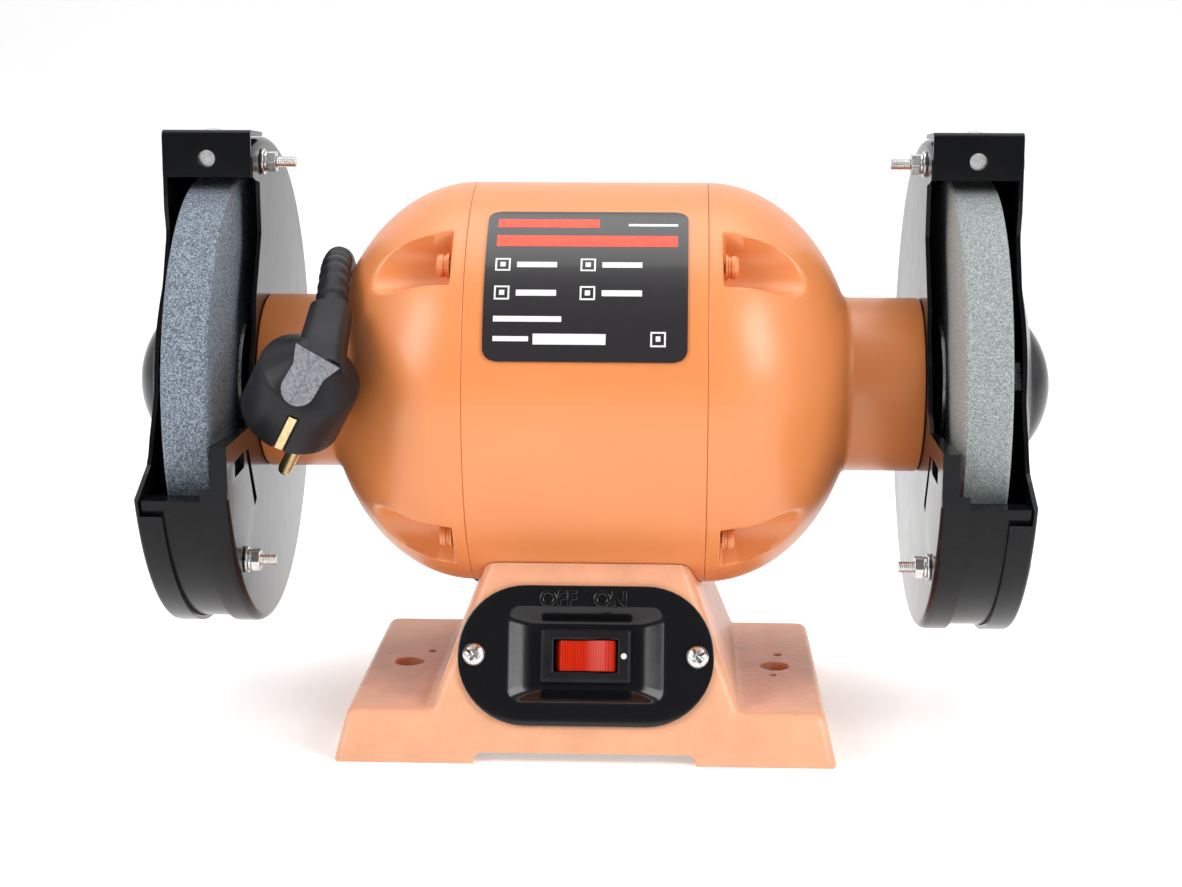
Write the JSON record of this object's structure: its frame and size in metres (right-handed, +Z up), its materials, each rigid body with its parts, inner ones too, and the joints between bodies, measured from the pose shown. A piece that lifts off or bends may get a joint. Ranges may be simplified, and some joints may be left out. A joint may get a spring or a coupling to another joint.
{
  "type": "bench grinder",
  "caption": "Bench grinder with a closed motor on a cast base, a guarded abrasive wheel at each end, a rocker switch and a mains cord.",
  "frame": {"origin": "middle of the machine's bounding box, on the surface that its feet stand on; the shaft axis is 2.5 mm in front of it and 125 mm above", "axes": "+X along the shaft to the operator's right, +Y away from the operator, +Z up"},
  "size_m": [0.333, 0.2911, 0.2175],
  "materials": {
    "orange_paint": "semi gloss",
    "cast_paint": "satin, over a rough casting",
    "black_paint": "gloss",
    "zinc": "zinc plated",
    "steel": "ground",
    "core_steel": "laminated",
    "copper": "enamelled wire",
    "coarse_grit": "coarse vitrified grit",
    "fine_grit": "fine vitrified grit",
    "black_plastic": "moulded",
    "red_plastic": "translucent",
    "capacitor_plastic": "moulded",
    "label_film": "printed film",
    "rubber": "moulded",
    "cord_rubber": "smooth"
  },
  "bodies": {
    "frame": {"base": "cast_paint", "bottom_cover": "zinc", "capacitor": "capacitor_plastic", "strain_relief": "rubber", "switch_plate": "black_paint", "switch_body": "black_plastic", "right_switch_screw": "zinc", "left_switch_screw": "zinc", "motor_shell": "orange_paint", "nameplate": "label_film", "right_end_bell": "orange_paint", "right_bell_screw_upper_rear": "zinc", "right_bell_screw_upper_front": "zinc", "right_bell_screw_lower_front": "zinc", "right_bell_screw_lower_rear": "zinc", "right_stator_winding": "copper", "right_bearing": "steel", "left_end_bell": "orange_paint", "left_bell_screw_upper_rear": "zinc", "left_bell_screw_upper_front": "zinc", "left_bell_screw_lower_front": "zinc", "left_bell_screw_lower_rear": "zinc", "left_stator_winding": "copper", "left_bearing": "steel", "stator_core": "core_steel", "right_inner_guard": "black_paint", "right_guard_band": "black_paint", "right_outer_cover": "black_paint", "right_spark_guard": "black_paint", "right_guard_bolt_top": "zinc", "right_guard_nut_top": "zinc", "right_guard_bolt_lower": "zinc", "right_guard_nut_lower": "zinc", "right_guard_bolt_rear": "zinc", "right_guard_nut_rear": "zinc", "left_inner_guard": "black_paint", "left_guard_band": "black_paint", "left_outer_cover": "black_paint", "left_spark_guard": "black_paint", "left_guard_bolt_top": "zinc", "left_guard_nut_top": "zinc", "left_guard_bolt_lower": "zinc", "left_guard_nut_lower": "zinc", "left_guard_bolt_rear": "zinc", "left_guard_nut_rear": "zinc", "cord_tail": "cord_rubber", "cord_coil": "cord_rubber", "cord_lead": "cord_rubber", "plug": "black_plastic"},
    "rotor": {"shaft": "steel", "rotor_core": "core_steel", "right_wheel": "fine_grit", "left_wheel": "coarse_grit", "right_inner_flange": "zinc", "right_outer_flange": "zinc", "right_shaft_nut": "zinc", "left_inner_flange": "zinc", "left_outer_flange": "zinc", "left_shaft_nut": "zinc"},
    "rocker": {"switch_rocker": "red_plastic"}
  },
  "joints": [
    {"name": "rotor_spin", "type": "hinge", "parent": "frame", "child": "rotor", "pos_m": [0, -0.0025, 0.125], "axis": [1, 0, 0], "continuous": true},
    {"name": "rocker_press", "type": "hinge", "parent": "frame", "child": "rocker", "pos_m": [0, -0.05523, 0.03601], "axis": [0, 0.3173, 0.9483], "range_deg": [0, 18]}
  ]
}
